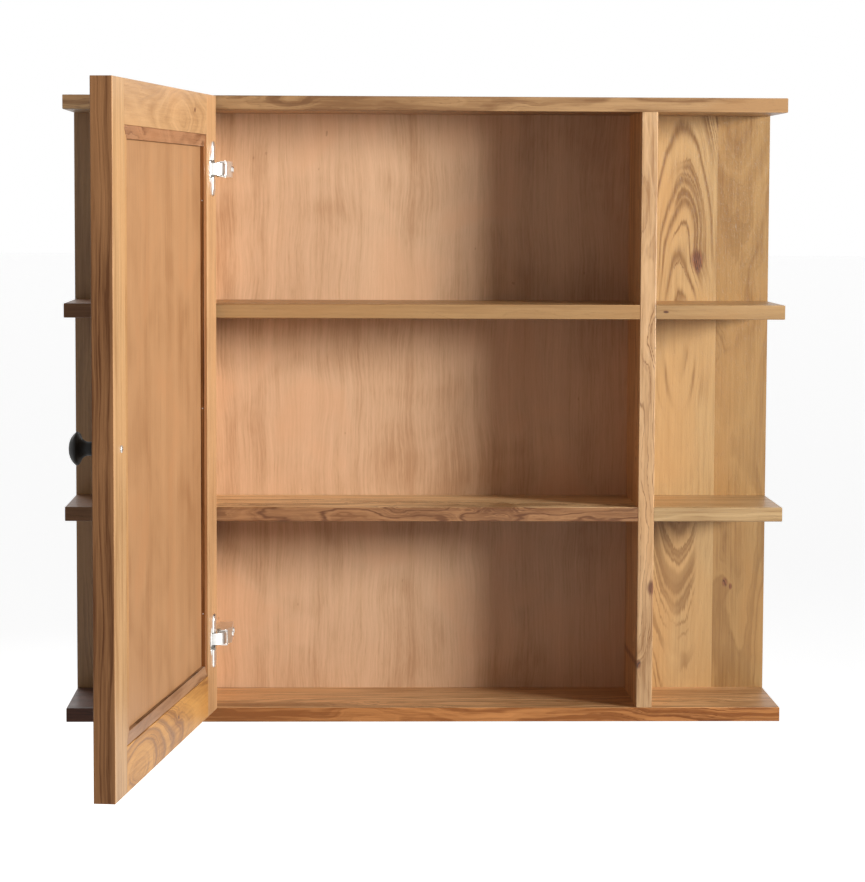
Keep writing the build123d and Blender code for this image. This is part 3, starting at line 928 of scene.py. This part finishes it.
def arc(start: Flat, middle: Flat, end: Flat, steps: int) -> "list[Flat]":
    """Points on the circle through three points.

    Args:
        start: First point.
        middle: A point on the way.
        end: Last point.
        steps: How many points follow the first.

    Returns:
        The points after the first one, ending at the last.
    """
    (ax, ay), (bx, by), (cx, cy) = start, middle, end
    twice = 2 * (ax * (by - cy) + bx * (cy - ay) + cx * (ay - by))
    ux = ((ax**2 + ay**2) * (by - cy) + (bx**2 + by**2) * (cy - ay) + (cx**2 + cy**2) * (ay - by)) / twice
    uy = ((ax**2 + ay**2) * (cx - bx) + (bx**2 + by**2) * (ax - cx) + (cx**2 + cy**2) * (bx - ax)) / twice
    size = math.hypot(ax - ux, ay - uy)
    first, last = math.atan2(ay - uy, ax - ux), math.atan2(cy - uy, cx - ux)
    sweep = (last - first + math.pi) % (2 * math.pi) - math.pi
    return [
        (ux + size * math.cos(first + sweep * i / steps), uy + size * math.sin(first + sweep * i / steps))
        for i in range(1, steps + 1)
    ]


def turned(outline: "list[Flat]", steps: int) -> bmesh.types.BMesh:
    """Spin an outline of (radius, height) round the upright axis.

    Args:
        outline: The outline, from one end on the axis to the other.
        steps: How many facets go round.

    Returns:
        The closed turned shape.
    """
    mesh = bmesh.new()
    points = [mesh.verts.new((radius, 0.0, height)) for radius, height in outline]
    edges = [mesh.edges.new(pair) for pair in zip(points, points[1:])]
    bmesh.ops.spin(
        mesh, geom=points + edges, cent=(0, 0, 0), axis=(0, 0, 1), dvec=(0, 0, 0),
        angle=math.tau, steps=steps, use_merge=True,
    )
    bmesh.ops.remove_doubles(mesh, verts=mesh.verts, dist=DOUBLES)
    return mesh


# ------------------------------------------------------------------ sub-assemblies


@dataclass
class Boards:
    """The carcass boards: top, bottom, dividers and shelves."""

    edge: float = 0.7

    def finishes(self) -> "dict[str, Acacia]":
        """Name the finish of every board.

        Returns:
            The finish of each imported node.
        """
        level = Grain.LEVEL
        return {
            "top_board": Acacia(
                "acacia_top", tint(168, 129, 86), level, heart=(60, -122, -120), stretch=0.12,
                reach=260, ring=7, wander=9, streaks=0.65, contrast=1.6, seed=1,
            ),
            "bottom_board": Acacia(
                "acacia_bottom", tint(189, 125, 70), level, heart=(-600, -118, 260), stretch=0.1,
                reach=500, ring=7, wander=8, streaks=0.85, contrast=1.8, seed=2, gloss=0.2, coat=0.04,
                # Painted shade on the left end, for the open door's shadow; painted light on the top face,
                # paler where light and sheen fall.
                painted_shade_span=(-245, -300), painted_shade_colour=tint(82, 45, 28), painted_top_light=(-624.0, (1.22, 1.8, 2.9)),
            ),
            "left_divider": Acacia(
                "acacia_left_divider", tint(206, 164, 118), heart=(-247, -20, 900), ring=8, seed=3,
            ),
            "right_divider": Acacia(
                "acacia_right_divider", tint(204, 163, 118), heart=(228, -116, -420), stretch=0.16,
                reach=200, ring=7, wander=8, streaks=0.8, contrast=1.4,
                knots=(Knot(254, -488, 5, 6), Knot(240, -575, 3)), seed=4,
            ),
            "centre_upper_shelf": Acacia(
                "acacia_upper_shelf", tint(171, 132, 85), level, heart=(-150, -80, 900), ring=10,
                streaks=0.2, contrast=0.7, seed=5,
            ),
            "centre_lower_shelf": Acacia(
                "acacia_lower_shelf", tint(165, 118, 76), level, heart=(-418, -124, -40), stretch=0.14,
                reach=180, ring=6, wander=15, streaks=1.0, contrast=1.9, bold=(26.0, 33.0), seed=6,
                # Painted light on the top face, paler where light and sheen fall.
                painted_top_light=(-398.0, (1.92, 2.75, 3.6)),
            ),
            # Painted shade: both left shelves are coloured darker than their wood, standing in for the open
            # door's shadow on their front ends.
            "left_upper_shelf": Acacia(
                "acacia_left_upper_painted_shade", tint(128, 88, 56), level, heart=(-150, -60, 0), seed=7,
                gloss=0.2, coat=0.04,
            ),
            "left_lower_shelf": Acacia(
                "acacia_left_lower_painted_shade", tint(126, 86, 54), level, heart=(-440, -60, 0), seed=8,
                gloss=0.2, coat=0.04,
            ),
            "right_upper_shelf": Acacia(
                "acacia_right_upper", tint(177, 140, 94), level, heart=(-150, -70, 700), ring=10,
                streaks=0.2, contrast=0.8, knots=(Knot(-179.5, 267, 1.7, 2),), seed=9,
            ),
            "right_lower_shelf": Acacia(
                "acacia_right_lower", tint(189, 155, 109), level, heart=(-440, -108, 380), stretch=0.12,
                ring=7, streaks=0.5, contrast=1.1, seed=10,
            ),
        }

    def build(self) -> None:
        """Ease and dress every board."""
        for name, finish in self.finishes().items():
            ease(frame["nodes"][name], self.edge)
            dress(frame["nodes"][name], finish.make())
            LOG.info("board %s", name)


@dataclass
class Backs:
    """The planks behind the side bays and the plywood behind the centre."""

    edge: float = 0.6

    def finishes(self) -> "dict[str, Acacia | Veneer]":
        """Name the finish of every back.

        Returns:
            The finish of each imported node.
        """
        return {
            "right_inner_back_plank": Acacia(
                "acacia_right_inner", tint(186, 153, 106), heart=(299, 10, -206), stretch=0.22,
                reach=400, ring=8, wander=2.0, streaks=0.8, contrast=0.95, bold=(29.2, 36.2, 39.9, 48.3),
                knots=(Knot(317, -126, 7.5, 5), Knot(262, -142, 7, 4), Knot(309, -405, 3, 3)), seed=11,
                arches=(-100, -40),
            ),
            "right_outer_back_plank": Acacia(
                "acacia_right_outer", tint(169, 132, 83), heart=(362, 16, 60), stretch=0.3, reach=190,
                ring=12, wander=6, streaks=0.25, contrast=0.9,
                knots=(Knot(354, -500, 3.4, 4), Knot(361, -505, 2, 2)), seed=12,
            ),
            "left_inner_back_plank": Acacia(
                "acacia_left_inner", tint(190, 145, 99), heart=(-300, 14, -420), stretch=0.3, reach=180,
                ring=9, streaks=0.6, bold=(38.0, 50.0), knots=(Knot(-322, -250, 6),), seed=13,
            ),
            "left_outer_back_plank": Acacia(
                "acacia_left_outer", tint(184, 138, 90), heart=(-372, -30, -900), ring=10, streaks=0.4,
                seed=14,
            ),
            "centre_back_panel": Veneer("plywood_centre", tint(210, 173, 138), seed=1),
        }

    def build(self) -> None:
        """Ease the acacia planks and dress every back."""
        for name, finish in self.finishes().items():
            if isinstance(finish, Acacia):
                ease(frame["nodes"][name], self.edge)
            dress(frame["nodes"][name], finish.make())
            LOG.info("back %s", name)


@dataclass
class DoorLeaf:
    """The door: framed acacia, a mirror in front and a plywood backing behind it."""

    edge: float = 0.7
    width: float = DOOR_WIDTH

    def finishes(self) -> "dict[str, Acacia | Veneer | Mirror]":
        """Name the finish of every piece of the door.

        Returns:
            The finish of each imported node.
        """
        level, door = Grain.LEVEL, Place.DOOR
        return {
            "door_hinge_stile": Acacia(
                "acacia_hinge_stile", tint(194, 150, 106), place=door, heart=(60, 40, 1200), ring=6,
                streaks=0.35, contrast=0.9, seed=21,
            ),
            "door_free_stile": Acacia(
                "acacia_free_stile", tint(190, 149, 104), place=door, heart=(520, 26, 900), ring=5,
                # Painted shade on the free edge face, for the shade where it turns from the light.
                wander=3, streaks=0.4, seed=22, painted_shade_span=(self.width - 0.6, self.width),
                painted_shade_colour=tint(184, 127, 81),
            ),
            "door_top_rail": Acacia(
                "acacia_top_rail", tint(189, 147, 103), level, door, heart=(26, 14, 180), stretch=0.4,
                reach=120, ring=8, wander=5, streaks=0.2, contrast=0.75,
                knots=(Knot(37, 118, 2.5, 3),), seed=23,
            ),
            "door_bottom_rail": Acacia(
                "acacia_bottom_rail", tint(190, 137, 74), level, door, heart=(-610, 16, 400),
                stretch=0.3, reach=260, ring=9, wander=3, streaks=0.75, contrast=1.1,
                bold=(29.0, 36.0, 43.0, 50.0), knots=(Knot(-594, 214, 2.6, 3),), seed=24,
            ),
            "door_top_bead": Acacia(
                "acacia_top_bead", tint(160, 114, 80), level, door, heart=(0, 30, 520), stretch=0.14,
                ring=5, wander=8, streaks=0.8, contrast=1.3, seed=25,
            ),
            "door_bottom_bead": Acacia(
                "acacia_bottom_bead", tint(158, 118, 86), level, door, heart=(-560, 30, 400),
                stretch=0.1, ring=6, streaks=0.6, contrast=1.2, seed=26,
            ),
            "door_hinge_side_bead": Acacia(
                "acacia_hinge_bead", tint(146, 94, 52), place=door, heart=(40, 20, 900), ring=4,
                seed=27,
            ),
            "door_free_side_bead": Acacia(
                "acacia_free_bead", tint(188, 142, 94), place=door, heart=(490, 20, 900), ring=4,
                seed=28,
            ),
            "door_back_panel": Veneer("plywood_door", tint(170, 126, 86), door, seed=2, specks=0.2),
            "door_mirror": Mirror("silvered_glass", (0.86, 0.88, 0.87)),
        }

    def build(self) -> None:
        """Ease the acacia pieces and dress every piece of the door."""
        for name, finish in self.finishes().items():
            if isinstance(finish, Acacia):
                ease(frame["nodes"][name], self.edge)
            dress(frame["nodes"][name], finish.make())
            LOG.info("door piece %s", name)


@dataclass
class Knob:
    """The turned door knob: a slim neck that opens into a domed disc."""

    across: float = 482.0
    height: float = -291.0
    front: float = -DOOR_THICKNESS
    foot_radius: float = 6.9
    foot_bevel: float = 0.3
    waist: Flat = (6.6, 10.0)
    flare: "tuple[Flat, Flat]" = ((8.7, 15.0), (13.4, 18.2))
    rim: "tuple[Flat, Flat]" = ((15.3, 19.3), (15.95, 21.0))
    dome: "tuple[Flat, Flat]" = ((10.6, 25.8), (1.0, 27.55))
    steps: "tuple[int, int, int]" = (10, 5, 18)
    facets: int = 96
    smooth: float = 50.0
    enamel: Paint = Paint("black_enamel", tint(19, 18, 17), 0.48)

    def outline(self) -> "list[Flat]":
        """The knob's half section.

        Returns:
            Points of radius and height, axis to axis.
        """
        foot = (self.foot_radius - self.foot_bevel, 0.0)
        points = [(0.0, 0.0), foot, (self.foot_radius, self.foot_bevel), self.waist]
        for (middle, end), steps in zip((self.flare, self.rim, self.dome), self.steps):
            points += arc(points[-1], middle, end, steps)
        return [*points, (0.0, self.dome[1][1])]

    def build(self) -> None:
        """Turn the knob and stand it on the door."""
        place = DOOR.matrix() @ Matrix.Translation(Vector((self.across, self.front, self.height)) * MM)
        place = place @ Matrix.Rotation(math.radians(90), 4, "X")
        finish = self.enamel.make()
        shape = turned(self.outline(), self.facets)
        piece = new_piece("turned_knob", shape, place, "door", finish, self.smooth)
        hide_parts("knob")
        LOG.info("knob %s", piece.name)


@dataclass
class Ironmongery:
    """Hinges, hanger plates, screws, pins and dowels."""

    nickel_plate: Metal = Metal("bright_nickel", (0.9, 0.89, 0.87), 0.27)
    screw_steel: Metal = Metal(
        "screw_steel", (0.72, 0.71, 0.69), 0.28, Lay.CLOUDED, stain=(0.42, 0.38, 0.32), stained=0.35
    )
    zinc_plate: Metal = Metal(
        "zinc_plate", (0.66, 0.67, 0.68), 0.36, Lay.SPANGLED, stain=(0.5, 0.5, 0.5), stained=0.3
    )
    dowel_beech: Acacia = Acacia(
        "beech_dowel", tint(206, 172, 132), heart=(0, 400, 0), ring=3, streaks=0.1, contrast=0.5
    )

    def build(self) -> None:
        """Dress every piece of metal and every dowel."""
        nickel, steel = self.nickel_plate.make(), self.screw_steel.make()
        zinc, beech = self.zinc_plate.make(), self.dowel_beech.make()
        for name, node in frame["nodes"].items():
            if "dowels" in name:
                dress(node, beech)
            elif "hanger_plate" in name:
                dress(node, zinc)
            elif name.endswith(("_hinge_cup", "_hinge_arm", "_hinge_plate", "_hinge_link")):
                dress(node, nickel)
            elif name.endswith(("screws", "pins", "tacks", "knob_screw")):
                dress(node, nickel if "hinge" in name else steel)
            else:
                continue
            LOG.info("fixing %s", name)


# ------------------------------------------------------------------ studio


@dataclass
class Studio:
    """The camera, the lights and the floor."""

    eye: Point = (-0.08748, -3.30854, -0.05692)
    pitch: float = -4.8244
    yaw: float = -1.7303
    roll: float = 0.2464
    lens: float = 116.49
    sensor: float = 36.0
    sight: float = 200.0
    lamp_colour: Colour = (1.0, 0.985, 0.96)
    key_place: Point = (2.643, -1.731, 0.309)
    key_aim: Point = (-0.45, -0.05, 0.1)
    key_size: float = 0.87
    key_spread: float = 95.0
    key_power: float = 40.5
    rear_place: Point = (-1.7, 2.6, 1.3)
    rear_aim: Point = (0.0, 0.0, -0.3)
    rear_size: float = 1.6
    rear_spread: float = 180.0
    rear_power: float = 45.0
    fill: float = 0.15
    floor_drop: float = 0.62
    floor_reach: float = 60.0
    floor_colour: Colour = (0.9, 0.9, 0.9)
    floor_roughness: float = 0.9
    floor_glow: float = 0.76

    def camera(self) -> None:
        """Make the camera."""
        data = bpy.data.cameras.new("view")
        data.lens = self.lens
        data.sensor_width = self.sensor
        data.clip_end = self.sight
        item = bpy.data.objects.new("view", data)
        turn = Matrix.Rotation(math.radians(self.yaw), 4, "Z")
        turn = turn @ Matrix.Rotation(math.radians(90 + self.pitch), 4, "X")
        turn = turn @ Matrix.Rotation(math.radians(self.roll), 4, "Z")
        item.matrix_world = Matrix.Translation(self.eye) @ turn
        bpy.context.scene.collection.objects.link(item)
        bpy.context.scene.camera = item

    def softbox(self, name: str, place: Point, aim: Point, size: float, power: float, spread: float) -> None:
        """Stand a round softbox.

        Args:
            name: Its name.
            place: Where its middle is.
            aim: The point it faces.
            size: Its width.
            power: Its power in watts.
            spread: How wide it shines, in degrees.
        """
        lamp = bpy.data.lights.new(name, "AREA")
        lamp.shape = "DISK"
        lamp.size = size
        lamp.energy = power
        lamp.spread = math.radians(spread)
        lamp.color = self.lamp_colour
        item = bpy.data.objects.new(name, lamp)
        facing = (Vector(aim) - Vector(place)).to_track_quat("-Z", "Y").to_matrix().to_4x4()
        item.matrix_world = Matrix.Translation(place) @ facing
        bpy.context.scene.collection.objects.link(item)

    def lights(self) -> None:
        """Make the soft key light, a softer one behind the wall plane and the even white surroundings.

        The surroundings are white where they are seen, and only the fill where they light a matt face.
        """
        self.softbox(
            "soft_key", self.key_place, self.key_aim, self.key_size, self.key_power, self.key_spread
        )
        self.softbox(
            "soft_rear", self.rear_place, self.rear_aim, self.rear_size, self.rear_power, self.rear_spread
        )
        world = bpy.data.worlds.new("white_room")
        recipe = Recipe(world)
        bounces = recipe.node("ShaderNodeLightPath", output="Diffuse Depth")
        limits = {"Value": bounces, "To Min": 1.0, "To Max": self.fill}
        strength = recipe.node("ShaderNodeMapRange", {"clamp": True}, limits)
        glow = recipe.node("ShaderNodeBackground", None, {"Color": (*WHITE, 1.0), "Strength": strength})
        recipe.node("ShaderNodeOutputWorld", None, {"Surface": glow})
        bpy.context.scene.world = world

    def floor(self) -> None:
        """Lay the pale floor well below the cabinet."""
        mesh = bmesh.new()
        bmesh.ops.create_grid(mesh, x_segments=2, y_segments=2, size=self.floor_reach)
        low = CAD_BOX[0].z - self.floor_drop
        bmesh.ops.translate(mesh, verts=mesh.verts, vec=(0, 0, low))
        data = bpy.data.meshes.new("studio_floor")
        mesh.to_mesh(data)
        mesh.free()
        item = bpy.data.objects.new("studio_floor", data)
        bpy.context.scene.collection.objects.link(item)
        item.visible_diffuse = False
        recipe = Recipe.material("pale_floor")
        finish = recipe.shaded(
            {
                "Base Color": (*self.floor_colour, 1.0),
                "Roughness": self.floor_roughness,
                "Emission Color": (*WHITE, 1.0),
                "Emission Strength": self.floor_glow,
            }
        )
        data.materials.append(finish)

    def build(self) -> None:
        """Set up the whole studio."""
        self.camera()
        self.lights()
        self.floor()
        bpy.context.scene.view_settings.view_transform = "Standard"
        bpy.context.scene.view_settings.look = "None"
        LOG.info("studio ready")


def main() -> None:
    """Build the studio and every sub-assembly in order."""
    logging.basicConfig(level=logging.INFO, format="%(name)s: %(message)s")
    Studio().build()
    Boards().build()
    Backs().build()
    DoorLeaf().build()
    Ironmongery().build()
    Knob().build()


if __name__ == "__main__":
    main()
